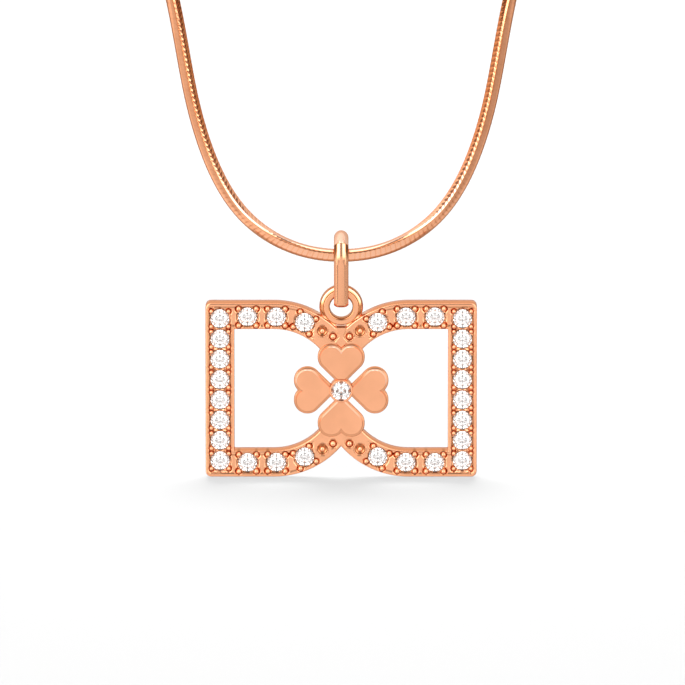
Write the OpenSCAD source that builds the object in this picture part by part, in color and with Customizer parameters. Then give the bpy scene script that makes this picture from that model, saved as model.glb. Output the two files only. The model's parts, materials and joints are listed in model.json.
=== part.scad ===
// Rose-gold pendant necklace: snake chain, bail, and two back-to-back half-round wings set with stones.
// Millimetres. +Z is up, -Y is the front, and the origin is where the clasp rests on the nape.

/* [Chain and clasp] */
// Diameter of the snake chain
chain_d = 1.16; // [0.9:0.02:1.2]
// Diameter of the barrel clasp
clasp_d = 2.4; // [2:0.1:3]
// Length of the barrel clasp
clasp_l = 9.6; // [9:0.2:12]

/* [Bail] */
// Width of the bail, seen from the front
bail_w = 1.17; // [1:0.01:1.2]
// Radius of the arch, seen from the side
bail_r = 1.7; // [1.5:0.05:2]
// Half the depth of the bail at its foot
bail_foot = 1.4; // [1.2:0.05:1.6]
// Thickness at the crown of the arch
bail_crown_t = 1.24; // [1:0.02:1.4]
// Thickness of the bar at the foot
bail_foot_t = 0.61; // [0.5:0.01:0.65]
// Half the width of the slot, seen from the side
bail_slot = 0.7; // [0.68:0.01:0.8]
// Bevel along the bail's edges
bail_bevel = 0.2; // [0.15:0.01:0.25]

/* [Loop on the pendant] */
// Outer radius of the loop
loop_r = 1.75; // [1.7:0.01:1.8]
// Radius of the hole in the loop
loop_hole_r = 0.91; // [0.9:0.01:1]
// Thickness of the loop's inner rib
loop_t = 1.1; // [1:0.02:1.16]
// Height of the loop's centre over the pendant's centre
loop_rise = 6.7; // [6.65:0.01:6.75]
// Drop from the chain's centre to the loop's centre
loop_drop = 4.15; // [4.05:0.01:4.2]

/* [Wings] */
// Width of the pendant over both wings
pendant_w = 21.74; // [21:0.02:23]
// Height of the wings
pendant_h = 14.2; // [14.1:0.02:14.3]
// Thickness of the wings
wing_t = 1.6; // [1.5:0.05:1.8]
// Distance of each bowl's centre from the middle
bowl_x = 5.4; // [5.3:0.02:5.5]
// Width of the arms and bowls
arm_w = 2.12; // [2.04:0.02:2.2]
// Width of the outer columns
column_w = 2.31; // [2.2:0.01:2.4]
// Width of the rails along both edges
rail_w = 0.34; // [0.3:0.01:0.36]
// Depth of the channel between the rails
channel_d = 0.18; // [0.1:0.01:0.25]
// Radius of the wings' outer corners
corner_r = 0.3; // [0.2:0.05:0.5]

/* [Stones] */
// Diameter of the stones in the wings
stone_d = 1.5; // [1.4:0.01:1.52]
// Diameter of the stone in the middle
centre_stone_d = 1.55; // [1.5:0.01:1.6]
// Gap between a stone and its seat
stone_gap = 0.025; // [0.02:0.005:0.03]
// Stones in each half of a column
column_stones = 4; // [3:1:4]
// Distance between stones in a column
stone_pitch = 1.66; // [1.63:0.005:1.67]

/* [Clover] */
// Radius of a heart's lobes
lobe_r = 1.09; // [1.05:0.01:1.1]
// Distance of a lobe's centre from its heart's middle line
lobe_x = 0.8; // [0.78:0.01:0.82]
// Distance of a lobe's centre from the clover's centre
lobe_z = 2.7; // [2.65:0.01:2.75]
// Gap between neighbouring hearts
petal_gap = 0.5; // [0.4:0.02:0.6]
// Thickness of the hearts
petal_t = 0.7; // [0.6:0.05:0.9]
// How far the hearts stand proud of the rails
petal_proud = 0.25; // [0.15:0.01:0.3]
// Outer radius of the bezel
bezel_r = 0.94; // [0.92:0.01:0.98]

/* [Hidden] */
metal = "#e9a27c";
crystal = "#f4f4f6";
eps = 0.01;

// The chain's half route as control points of a smooth curve: right, back and up from its lowest point.
// It hangs as a narrow U in front, then spreads, and goes round the neck to the nape.
half_route = [
    [0, 0, -0.1], [2.8, 0, 0.2], [5.5, 0, 1.3], [7.9, 0, 3.2], [9.7, 0, 5.9],
    [11, 0, 9.1], [12, 0, 12.8], [12.7, 0, 17], [13.6, 0, 22], [15.5, 0.5, 29],
    [19.5, 4, 39.5], [27, 12, 53], [38, 24, 66.5], [49, 39, 78.5], [56.5, 57.5, 87],
    [57.5, 79.5, 91.5], [47.5, 99.5, 92.5], [30, 113.5, 92.5], [13, 118.5, 92.5], [4.2, 118.5, 92.5]
];
nape = half_route[len(half_route) - 1];
chain_sides = 8;
rings_per_stretch = 2;

// Places in the necklace's own frame
front_y = clasp_d / 2 - nape[1];
low_z = -nape[2];
loop_z = low_z - loop_drop;
pendant_z = loop_z - loop_rise;

// Places inside the pendant, whose middle plane is y = 0
front = -wing_t / 2;
back = wing_t / 2;
channel_floor = front + channel_d;
bowl_r = pendant_h / 2;
window_r = bowl_r - arm_w;
column_x = pendant_w / 2 - column_w / 2;
waist_z = 3;
arc_step = 5;

// Seat under each stone: depth of its straight wall, depth of its cone, and the hole behind it
girdle_depth = 0.03;
seat_wall = 0.09;
seat_cone = 0.47;
seat_hole_r = 0.35;

// Stones of one quarter of the pendant: x, z and the turn of their beads
function column_stone(k) = [-column_x, stone_pitch * (k - 0.5), 0];
arm_stones = [[-7.51, 5.96, 0], [-5.19, 5.95, 0], [-2.93, 5.5, -25]];
quarter_stones = concat([for (k = [1 : column_stones]) column_stone(k)], arm_stones);

// Beads at a stone's corners: sideways, lengthways, radius and height of the middle over the floor
column_bead = [0.71, 0.62, 0.18, 0.07];
arm_bead = [0.72, 0.70, 0.235, 0.09];

// Empty cups and small cups near the waist: x, z and radius of the cup, then radius of its bead
waist_cups = [[-1.51, 4.83, 0.45, 0.26], [-0.66, 4.38, 0.34, 0.29]];
cup_depth = 0.12;
cup_taper = 0.08;

// Steps of the hearts' bevel: how far in from the outline, and how far below the face
petal_steps = [[0, 0.2], [0.08, 0.08], [0.2, 0]];
petal_face = front - petal_proud;
petal_back = petal_face + petal_t;
heart_steps = 12;

// Bezel round the middle stone: its rim, the level of the stone's girdle, and its rounded edge
bezel_front = petal_face - 0.17;
bezel_girdle = petal_face - 0.05;
bezel_edge = [0.06, 0.1];

// Loop on the pendant: how far the flange lies under the rib, and the rounding of both
flange_step = 0.15;
rib_edge = 0.12;
flange_edge = 0.1;

// Block under the loop, and the web that fills the notch below it
block_w = 0.9;
block_z = 5;
block_h = 0.75;
block_front = -0.45;
web_w = 1.4;
web_z = 4;
web_h = 1.2;

// Room inside the bail: over the chain, and under the loop's hole; radii of the foot's corners
bail_over_chain = 0.2;
bail_under_hole = 0.21;
bail_inner_corner = 0.3;
bail_outer_corner = 0.5;

// Clasp: walls and depth of its end cups, narrow ends, their shoulders, and the groove in the middle
cup_gap = 0.05;
cup_end_gap = 0.1;
clasp_step = 0.35;
clasp_neck = 1;
clasp_shoulder = 0.8;
groove_w = 0.15;
groove_d = 0.1;

// Quarters of the pendant: name, side and height
quarters = [["left_top", 1, 1], ["left_low", 1, -1], ["right_top", -1, 1], ["right_low", -1, -1]];
stone_nodes = [for (q = quarters) for (k = [1 : len(quarter_stones)]) str("stone_", q[0], "_", k)];

// Vectors
function unit(v) = v / norm(v);
function flip_x(p) = [-p[0], p[1], p[2]];

// One point of a uniform cubic B-spline between control points b and c
function spline(a, b, c, d, t) =
    (pow(1 - t, 3) * a + (3 * pow(t, 3) - 6 * t * t + 4) * b
     + (-3 * pow(t, 3) + 3 * t * t + 3 * t + 1) * c + pow(t, 3) * d) / 6;

// The same point's direction along the curve
function spline_way(a, b, c, d, t) =
    -pow(1 - t, 2) * a + (3 * t * t - 4 * t) * b + (-3 * t * t + 2 * t + 1) * c + t * t * d;

// Polyhedron through a list of rings of equally many points; the ends are capped unless it is closed
module swept(rings, closed = false) {
    n = len(rings);
    m = len(rings[0]);
    points = [for (r = rings) for (p = r) p];
    sides = [
        for (i = [0 : n - (closed ? 1 : 2)]) for (j = [0 : m - 1])
            let (k = (i + 1) % n, l = (j + 1) % m) [i * m + j, i * m + l, k * m + l, k * m + j]
    ];
    caps = closed ? [] : [[for (j = [m - 1 : -1 : 0]) j], [for (j = [0 : m - 1]) (n - 1) * m + j]];
    polyhedron(points, concat(sides, caps), convexity = 10);
}

// A wall standing on the pendant's middle plane, from one depth to another
module slab(from, to) {
    translate([0, to, 0]) rotate([90, 0, 0]) linear_extrude(to - from) children();
}

// Something turned round an axis that looks to the front
module turned(x, y, z) {
    translate([x, y, z]) rotate([90, 0, 0]) rotate_extrude($fn = 48) children();
}

// One ring of the chain's tube, about a point of its route
function chain_ring(at, way) =
    let (
        side = unit(cross(way, at - [0, 0, 3 * nape[2]])),
        up = cross(side, way)
    )
    [
        for (j = [0 : chain_sides - 1])
            let (turn = 360 * (j + 0.5) / chain_sides)
            at + chain_d / 2 * (cos(turn) * side + sin(turn) * up)
    ];

// Snake chain: an eight-sided tube along the whole loop, from one end of the clasp to the other
module chain() {
    last = len(half_route) - 1;
    beyond = 2 * half_route[last] - half_route[last - 1];
    route = concat([flip_x(half_route[1])], half_route, [beyond]);
    steps = [for (i = [0 : last - 1]) for (k = [0 : rings_per_stretch - 1]) [i, k / rings_per_stretch]];
    half = [
        for (s = concat(steps, [[last - 1, 1]]))
            let (a = route[s[0]], b = route[s[0] + 1], c = route[s[0] + 2], d = route[s[0] + 3])
            chain_ring(spline(a, b, c, d, s[1]), unit(spline_way(a, b, c, d, s[1])))
    ];
    other = [for (i = [len(half) - 1 : -1 : 1]) [for (p = half[i]) flip_x(p)]];
    color(metal) translate([0, front_y, low_z]) swept(concat(other, half));
}

// Barrel clasp: one plain turned piece whose end cups hold the chain's ends
module clasp() {
    half = clasp_l / 2;
    r = clasp_d / 2;
    neck = r - clasp_step;
    cup_r = chain_d / 2 + cup_gap;
    cup_end = nape[0] - cup_end_gap;
    color(metal) translate([0, r, 0]) rotate([0, 90, 0]) rotate_extrude($fn = 48)
        polygon([
            [0, -cup_end], [cup_r, -cup_end], [cup_r, -half], [neck, -half], [neck, clasp_neck - half],
            [r, clasp_neck + clasp_shoulder - half], [r, -groove_w], [r - groove_d, 0], [r, groove_w],
            [r, half - clasp_neck - clasp_shoulder], [neck, half - clasp_neck], [neck, half],
            [cup_r, half], [cup_r, cup_end], [0, cup_end]
        ]);
}

// One ring of the bail: a bevelled bar between an inner and an outer point, given as depth and height
function bail_ring(inner, outer) =
    let (
        mid = (inner + outer) / 2,
        out = unit(outer - inner),
        t = norm(outer - inner) / 2,
        w = bail_w / 2,
        corners = [
            [w, t - bail_bevel], [w - bail_bevel, t], [bail_bevel - w, t], [-w, t - bail_bevel],
            [-w, bail_bevel - t], [bail_bevel - w, -t], [w - bail_bevel, -t], [w, bail_bevel - t]
        ]
    )
    [for (c = corners) [c[0], mid[0] + c[1] * out[0], mid[1] + c[1] * out[1]]];

// Bail: a tall closed link, arched over the chain, with a straight bar at its foot that carries the pendant
module bail() {
    slot_top = chain_d / 2 + bail_over_chain;
    slot_foot = loop_hole_r - bail_under_hole - loop_drop;
    bar_foot = slot_foot - bail_foot_t;
    ri = bail_inner_corner;
    ro = bail_outer_corner;
    arch = [
        for (a = [0 : 15 : 90])
            [
                [bail_slot * sin(a), slot_top - bail_slot + bail_slot * cos(a)],
                [bail_r * sin(a), slot_top + bail_crown_t - bail_r + bail_r * cos(a)]
            ]
    ];
    foot = [
        for (a = [90 : 30 : 180])
            [
                [bail_slot - ri * (1 - sin(a)), slot_foot + ri * (1 + cos(a))],
                [bail_foot - ro * (1 - sin(a)), bar_foot + ro * (1 + cos(a))]
            ]
    ];
    half = concat(arch, foot);
    other = [for (i = [len(half) - 1 : -1 : 1]) [for (p = half[i]) [-p[0], p[1]]]];
    color(metal) translate([0, front_y, low_z])
        swept([for (s = concat(half, other)) bail_ring(s[0], s[1])], closed = true);
}

// Half-round outline of a left wing: a straight left side with rounded corners, and a bowl about its centre
function half_round(left, r, corner) = concat(
    [for (a = [90 : -arc_step : -90]) [r * cos(a) - bowl_x, r * sin(a)]],
    [for (a = [270 : -30 : 180]) [left + corner + corner * cos(a), corner - r + corner * sin(a)]],
    [for (a = [180 : -30 : 90]) [left + corner + corner * cos(a), r - corner + corner * sin(a)]]
);

// The wing's band, as far as the middle plane and without its waist, narrowed by an inset on both edges
module wing_band(inset) {
    left = -pendant_w / 2;
    difference() {
        polygon(half_round(left + inset, bowl_r - inset, corner_r));
        polygon(half_round(left + column_w - inset, window_r + inset, 0.05));
        translate([0, -pendant_h]) square([2 * bowl_r, 2 * pendant_h]);
        translate([-bowl_x / 2, -waist_z]) square([bowl_x, 2 * waist_z]);
    }
}

// One wing: the band with its channel sunk between two rails
module wing() {
    difference() {
        slab(front, back) wing_band(0);
        slab(front - 1, channel_floor) wing_band(rail_w);
    }
}

// Outline of one heart of the clover, pointing down at the middle
function heart(inset) =
    let (
        r = lobe_r - inset,
        tip = (petal_gap / 2 + inset) * sqrt(2),
        cleft = acos(-lobe_x / r),
        turns = [for (k = [0 : heart_steps]) cleft - k * (cleft + 45) / heart_steps],
        lobe = [for (a = turns) [lobe_x + r * cos(a), lobe_z + r * sin(a)]]
    )
    concat(lobe, [[0, tip]], [for (k = [heart_steps : -1 : 1]) [-lobe[k][0], lobe[k][1]]]);

// Clover: four bevelled hearts round the bezel
module clover() {
    for (turn = [0 : 90 : 270]) rotate([0, turn, 0]) for (s = petal_steps)
        slab(petal_face + s[1], petal_back) polygon(heart(s[0]));
}

// Bezel round the middle stone
module bezel() {
    turned(0, bezel_front, 0)
        polygon([
            [0, bezel_front], [bezel_r, bezel_front], [bezel_r, -bezel_edge[1]],
            [bezel_r - bezel_edge[0], 0], [0, 0]
        ]);
}

// Loop at the top: a rounded inner rib with a thinner flange round it
module hanging_loop() {
    rib = loop_t / 2;
    flange = rib - flange_step;
    step_r = (loop_hole_r + loop_r) / 2;
    front_half = [
        [loop_hole_r, rib_edge - rib], [loop_hole_r + rib_edge, -rib], [step_r - flange_edge, -rib],
        [step_r, -flange], [loop_r - flange_edge, -flange], [loop_r, flange_edge - flange]
    ];
    back_half = [for (k = [len(front_half) - 1 : -1 : 0]) [front_half[k][0], -front_half[k][1]]];
    turned(0, 0, loop_rise) polygon(concat(front_half, back_half));
}

// Seat of a stone: a straight wall, a cone under the girdle, and a hole through the back
module seat(x, z, d, girdle_y) {
    r = d / 2 + stone_gap;
    turned(x, girdle_y, z)
        polygon([
            [0, wing_t], [r, wing_t], [r, -seat_wall],
            [seat_hole_r, -seat_cone], [seat_hole_r, -2 * wing_t], [0, -2 * wing_t]
        ]);
}

// Round cup sunk in the channel's floor
module cup(x, z, r) {
    turned(x, channel_floor, z)
        polygon([[0, -cup_depth], [r - cup_taper, -cup_depth], [r, channel_d], [0, channel_d]]);
}

module bead(x, z, r, over_floor) {
    translate([x, channel_floor - over_floor, z]) sphere(r, $fn = 24);
}

// A place in the left upper quarter, carried over to another side and height
function on_side(p, side, height) = [side * p[0], height * p[1], side * height * p[2]];
all_stones = [for (q = quarters) for (s = quarter_stones) on_side(s, q[1], q[2])];
all_cups = [
    for (side = [1, -1]) for (height = [1, -1]) for (c = waist_cups)
        [side * c[0], height * c[1], c[2], c[3]]
];

// Pendant: wings, clover, bezel, loop and block as one soldered solid, then its seats, cups and beads
module pendant() {
    color(metal) translate([0, front_y, pendant_z]) {
        difference() {
            union() {
                wing();
                mirror([1, 0, 0]) wing();
                slab(channel_floor, back)
                    translate([-web_w / 2, web_z]) square([web_w, web_h]);
                slab(block_front, -block_front)
                    translate([-block_w / 2, block_z]) square([block_w, block_h]);
                hanging_loop();
                clover();
                bezel();
            }
            for (s = all_stones) seat(s[0], s[1], stone_d, channel_floor + girdle_depth);
            seat(0, 0, centre_stone_d, bezel_girdle);
            for (c = all_cups) cup(c[0], c[1], c[2]);
        }
        for (s = all_stones) stone_beads(s);
        for (c = all_cups) bead(c[0], c[1], c[3], 0.04 - cup_depth);
    }
}

// Four beads at the corners of one stone, turned with the band
module stone_beads(s) {
    b = abs(s[0]) > column_x - eps ? column_bead : arm_bead;
    for (i = [-1, 1]) for (j = [-1, 1])
        bead(
            s[0] + i * b[0] * cos(s[2]) - j * b[1] * sin(s[2]),
            s[1] + i * b[0] * sin(s[2]) + j * b[1] * cos(s[2]),
            b[2], b[3]
        );
}

// A ring of points round the stone's axis, turned by a part of one step
function around(n, r, z, shift) =
    [for (k = [0 : n - 1]) [r * cos(360 / n * (k + shift)), r * sin(360 / n * (k + shift)), z]];

// Round brilliant of a given girdle diameter, with its table up: an eight-sided table, a crown of stars,
// kites and upper halves, a girdle, and a pavilion of lower halves and mains
module brilliant(d) {
    r = d / 2;
    table_r = 0.57 * r;
    crown_h = 0.155 * d;
    girdle_h = 0.015 * d;
    pavilion_h = 0.43 * d;
    star_r = 0.76 * r;
    lower_r = 0.3 * r;
    crown_slope = crown_h / (r - table_r);
    star_z = girdle_h + (r - star_r * cos(22.5)) * crown_slope;
    lower_z = lower_r * cos(22.5) * (pavilion_h - girdle_h) / r - pavilion_h;
    points = concat(
        around(8, table_r, crown_h + girdle_h, 0), around(8, star_r, star_z, 0.5),
        around(16, r, girdle_h, 0), around(16, r, -girdle_h, 0),
        around(8, lower_r, lower_z, 0.5), [[0, 0, -pavilion_h]]
    );
    table = 0;
    star = 8;
    upper = 16;
    under = 32;
    lower = 48;
    tip = 56;
    polyhedron(points, concat(
        [[for (k = [7 : -1 : 0]) table + k]],
        [for (k = [0 : 7]) [table + k, table + (k + 1) % 8, star + k]],
        [for (k = [0 : 7]) [table + k, star + k, upper + 2 * k, star + (k + 7) % 8]],
        [for (k = [0 : 7]) [star + k, upper + 2 * k + 1, upper + 2 * k]],
        [for (k = [0 : 7]) [star + k, upper + (2 * k + 2) % 16, upper + 2 * k + 1]],
        [for (k = [0 : 15]) [upper + k, upper + (k + 1) % 16, under + (k + 1) % 16, under + k]],
        [for (k = [0 : 7]) [lower + k, under + 2 * k, under + 2 * k + 1]],
        [for (k = [0 : 7]) [lower + k, under + 2 * k + 1, under + (2 * k + 2) % 16]],
        [for (k = [0 : 7]) [tip, lower + (k + 7) % 8, under + 2 * k, lower + k]]
    ));
}

// A stone in its seat, facing the front
module stone(x, z, d, girdle_y) {
    color(crystal) translate([x, front_y + girdle_y, pendant_z + z]) rotate([90, 0, 0]) brilliant(d);
}

chain();
clasp();
bail();
pendant();
stone(0, 0, centre_stone_d, bezel_girdle);  // stone_centre
for (i = [0 : len(stone_nodes) - 1])
    stone(all_stones[i][0], all_stones[i][1], stone_d, channel_floor + girdle_depth);
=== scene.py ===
import json
from math import acos, cos, pi, radians, sin, sqrt

import bmesh
import bpy
import numpy as np
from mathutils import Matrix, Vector


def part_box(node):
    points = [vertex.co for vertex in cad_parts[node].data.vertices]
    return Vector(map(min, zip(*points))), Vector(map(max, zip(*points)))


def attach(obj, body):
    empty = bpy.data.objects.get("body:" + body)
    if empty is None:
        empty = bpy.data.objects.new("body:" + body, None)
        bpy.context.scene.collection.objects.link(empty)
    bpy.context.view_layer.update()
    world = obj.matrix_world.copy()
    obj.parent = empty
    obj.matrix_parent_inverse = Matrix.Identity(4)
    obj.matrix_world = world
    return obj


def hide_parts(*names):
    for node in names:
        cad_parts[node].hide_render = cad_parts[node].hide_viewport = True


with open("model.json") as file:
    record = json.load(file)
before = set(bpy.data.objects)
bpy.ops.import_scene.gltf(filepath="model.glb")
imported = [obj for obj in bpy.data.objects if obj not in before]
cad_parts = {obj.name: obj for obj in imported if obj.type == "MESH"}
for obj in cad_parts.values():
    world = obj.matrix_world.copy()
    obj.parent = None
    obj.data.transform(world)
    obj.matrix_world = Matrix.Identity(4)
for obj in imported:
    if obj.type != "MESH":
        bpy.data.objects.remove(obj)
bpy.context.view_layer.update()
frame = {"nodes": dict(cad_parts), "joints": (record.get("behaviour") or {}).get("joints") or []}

# The snake chain: small bent plates of rose gold, pushed into one another until they make a four-sided strand
# with rounded edges. It is machine-made in one length, polished, and its ends are soldered into the clasp.
# It hangs as a narrow U in front, then spreads, and goes round the neck to the nape.

mm = 0.001
half_route = mm * np.array([
    # the right half from the lowest point to the clasp: right, back and up from the lowest point
    [0, 0, -0.1], [2.8, 0, 0.2], [5.5, 0, 1.3], [7.9, 0, 3.2], [9.7, 0, 5.9],
    [11, 0, 9.1], [12, 0, 12.8], [12.7, 0, 17], [13.6, 0, 22], [15.5, 0.5, 29],
    [19.5, 4, 39.5], [27, 12, 53], [38, 24, 66.5], [49, 39, 78.5], [56.5, 57.5, 87],
    [57.5, 79.5, 91.5], [47.5, 99.5, 92.5], [30, 113.5, 92.5], [13, 118.5, 92.5], [4.2, 118.5, 92.5],
])
joint_place = {joint["name"]: np.array(joint["pos_m"]) for joint in frame["joints"]}
chain_low = joint_place["bail_swing"]
outward_from = np.array([0, 0, 3 * half_route[-1, 2]])
link_pitch = 0.42 * mm
strand_corners = mm * np.array([
    # outward and front on the sides, the same at the lowest point, length of the cut to either side of the
    # corner, and how far the corner leans along the strand
    [0.585, -0.05, 0.55, -0.05, 0.05, 0.0],
    [0.48, 0.13, 0.47, 0.14, 0.05, 0.0],
    [0.20, 0.36, 0.28, 0.42, 0.03, 0.0],
    [0.02, 0.48, -0.22, 0.55, 0.0, 0.1],
    [-0.08, 0.547, -0.32, 0.52, 0.012, 0.1],
    [-0.25, 0.465, -0.465, 0.42, 0.02, 0.2],
])
strand_grooves = np.array([
    # the grooves on the face after each corner: depth on the sides and at the lowest point, painted shade at
    # both, and how many there are to a link
    [0.012, 0.012, 0.25, 0.3, 1],
    [0.002, 0.008, 0.1, 0.25, 1],
    [0.002, 0.008, 0.1, 0.3, 1],
    [0.002, 0.003, 0.1, 0.2, 1],
    [0.03, 0.003, 0.6, 0.1, 2],
    [0.025, 0.0, 0.5, 0.05, 2],
]) * [mm, mm, 1, 1, 1]
strand_shades = np.array([
    # painted shade, or below zero painted highlight, before and after each corner, on the upper sides, the
    # lower sides and the lowest point
    [0.6, 0.1, -0.2, -0.3, -0.2, 0.0],
    [0.1, 0.1, -0.3, -0.1, 0.2, 0.3],
    [0.1, 0.1, -0.1, 0.1, 0.1, -0.25],
    [0.25, 0.45, 0.1, 0.1, -0.2, 0.0],
    [1.0, 0.1, 0.1, -0.8, 0.9, 0.5],
    [0.0, 0.6, -0.8, -0.3, -0.6, -0.6],
])
# where the four rings of a link lie along it, and how deep each is sunk where it has one groove or two
link_rings = np.array([0, 0.16, 0.5, 0.84])
one_groove, two_grooves = [1, 0.25, 0, 0.25], [1, 0.1, 0.7, 0.1]
# how far from the lowest point one form begins and ends to pass into the next
low_to_side = 3.5 * mm, 9 * mm
side_to_upper = 8 * mm, 12 * mm
# where the painted dark dots begin and end, the corner they are painted on, and their painted shade
dots_begin, dots_end = (4.5 * mm, 6 * mm), (8 * mm, 11 * mm)
dotted_corner = slice(4, 6)
dot_shade = 0.7


def whole_route():
    """The left half is the right half mirrored. One point more at each end carries the curve straight on."""
    left = half_route[:0:-1] * [-1, 1, 1]
    ends = [2 * left[0] - left[1], 2 * half_route[-1] - half_route[-2]]
    return np.vstack([ends[:1], left, half_route, ends[1:]])


def spline(points, steps=60):
    """Uniform cubic B-spline: each place is a blend of four neighbouring points, and the weights are cubics
    in the way t along the stretch: (1-t)^3, 3t^3-6t^2+4, -3t^3+3t^2+3t+1 and t^3, all divided by six."""
    t = np.linspace(0, 1, steps, endpoint=False)[None, :, None]
    a, b, c, d = (points[k:len(points) - 3 + k, None, :] for k in range(4))
    curve = ((1 - t) ** 3 * a + (3 * t ** 3 - 6 * t ** 2 + 4) * b
             + (-3 * t ** 3 + 3 * t ** 2 + 3 * t + 1) * c + t ** 3 * d) / 6
    last = (points[-3] + 4 * points[-2] + points[-1]) / 6
    return np.vstack([curve.reshape(-1, 3), last])


def unit(vectors):
    """Each vector divided by its own length."""
    return vectors / np.linalg.norm(vectors, axis=-1, keepdims=True)


def smooth_step(value, low, high):
    """0 below low, 1 above high, and between them 3t^2 - 2t^3 of the way t."""
    t = np.clip((value - low) / (high - low), 0, 1)
    return t * t * (3 - 2 * t)


def cell_corners(grid):
    """The values at the four corners of each cell of a grid."""
    return np.stack([grid[:-1, :-1], grid[1:, :-1], grid[1:, 1:], grid[:-1, 1:]], -1)


def grid_faces(rows, columns, wrap_rows=False, wrap_columns=False):
    """Four-sided faces between neighbouring points of a grid. A wrapped direction joins its last line to its
    first."""
    numbers = np.arange(rows * columns).reshape(rows, columns)
    if wrap_rows:
        numbers = np.vstack([numbers, numbers[:1]])
    if wrap_columns:
        numbers = np.hstack([numbers, numbers[:, :1]])
    return cell_corners(numbers).reshape(-1, 4)


def lean_on_large_faces(mesh):
    """Each point's normal is the sum of its faces' normals times their areas, so that flats stay flat next to
    their narrow rounded edges."""
    sizes, areas = np.empty(len(mesh.polygons), int), np.empty(len(mesh.polygons))
    facing, corners = np.empty(3 * len(mesh.polygons)), np.empty(len(mesh.loops), int)
    mesh.polygons.foreach_get("loop_total", sizes)
    mesh.polygons.foreach_get("area", areas)
    mesh.polygons.foreach_get("normal", facing)
    mesh.loops.foreach_get("vertex_index", corners)
    pull = np.repeat(facing.reshape(-1, 3) * areas[:, None], sizes, axis=0)
    normals = np.zeros((len(mesh.vertices), 3))
    np.add.at(normals, corners, pull)
    mesh.normals_split_custom_set_from_vertices(unit(normals).tolist())


def put_in_scene(name, data):
    """A new object with this mesh, lamp or camera, linked to the scene."""
    thing = bpy.data.objects.new(name, data)
    bpy.context.scene.collection.objects.link(thing)
    return thing


def make_piece(name, body, node, material, points, faces, crease, marks=None):
    """Puts points and faces into a mesh, merges what meets and turns the faces outwards. Edges that turn by
    more than the crease are sharp; without a crease, flats and rounded edges flow into each other. marks is
    one value a point of painted shade and painted highlight, for the material. The floor takes the room's
    light as if the piece weren't there, so that only the lamp casts its shadow."""
    mesh = bpy.data.meshes.new(name)
    mesh.from_pydata(np.reshape(points, (-1, 3)).tolist(), [], [f for block in faces for f in block.tolist()])
    if marks is not None:
        mesh.attributes.new("painted_shading", "FLOAT", "POINT").data.foreach_set("value", np.ravel(marks))
    shape = bmesh.new()
    shape.from_mesh(mesh)
    bmesh.ops.remove_doubles(shape, verts=shape.verts, dist=1e-7)
    bmesh.ops.dissolve_degenerate(shape, edges=shape.edges, dist=1e-7)
    bmesh.ops.recalc_face_normals(shape, faces=shape.faces)
    shape.to_mesh(mesh)
    shape.free()
    mesh.polygons.foreach_set("use_smooth", np.ones(len(mesh.polygons), bool))
    if crease:
        mesh.set_sharp_from_angle(angle=radians(crease))
    else:
        lean_on_large_faces(mesh)
    mesh.materials.append(material)
    thing = put_in_scene(name, mesh)
    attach(thing, body)
    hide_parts(node)
    thing.visible_diffuse = False


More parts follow.
